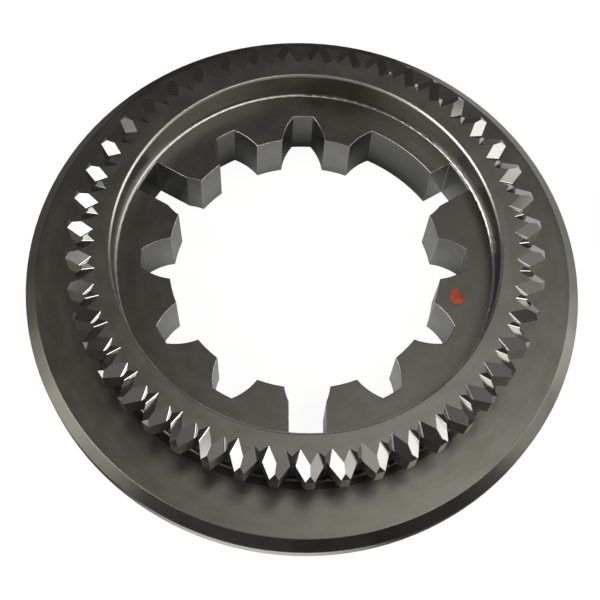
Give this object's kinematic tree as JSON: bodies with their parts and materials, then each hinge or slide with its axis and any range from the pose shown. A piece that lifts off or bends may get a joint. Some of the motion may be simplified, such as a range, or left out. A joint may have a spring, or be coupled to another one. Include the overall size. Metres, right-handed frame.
{
  "type": "gearbox sliding sleeve",
  "caption": "One-piece steel sliding sleeve: a round flange, a fork groove, a ring of pointed clutch teeth, a counterbore and a splined bore with deep slots.",
  "frame": {"origin": "on the bore's axis, in the plane of the flat underside", "axes": "+Z along the bore's axis towards the pointed clutch teeth; +Y through the middle of a spline gap"},
  "size_m": [0.14, 0.14, 0.0246],
  "materials": {
    "machined_steel": "dark satin machined and hardened steel"
  },
  "bodies": {
    "root": {"sliding_sleeve": "machined_steel"}
  },
  "joints": []
}
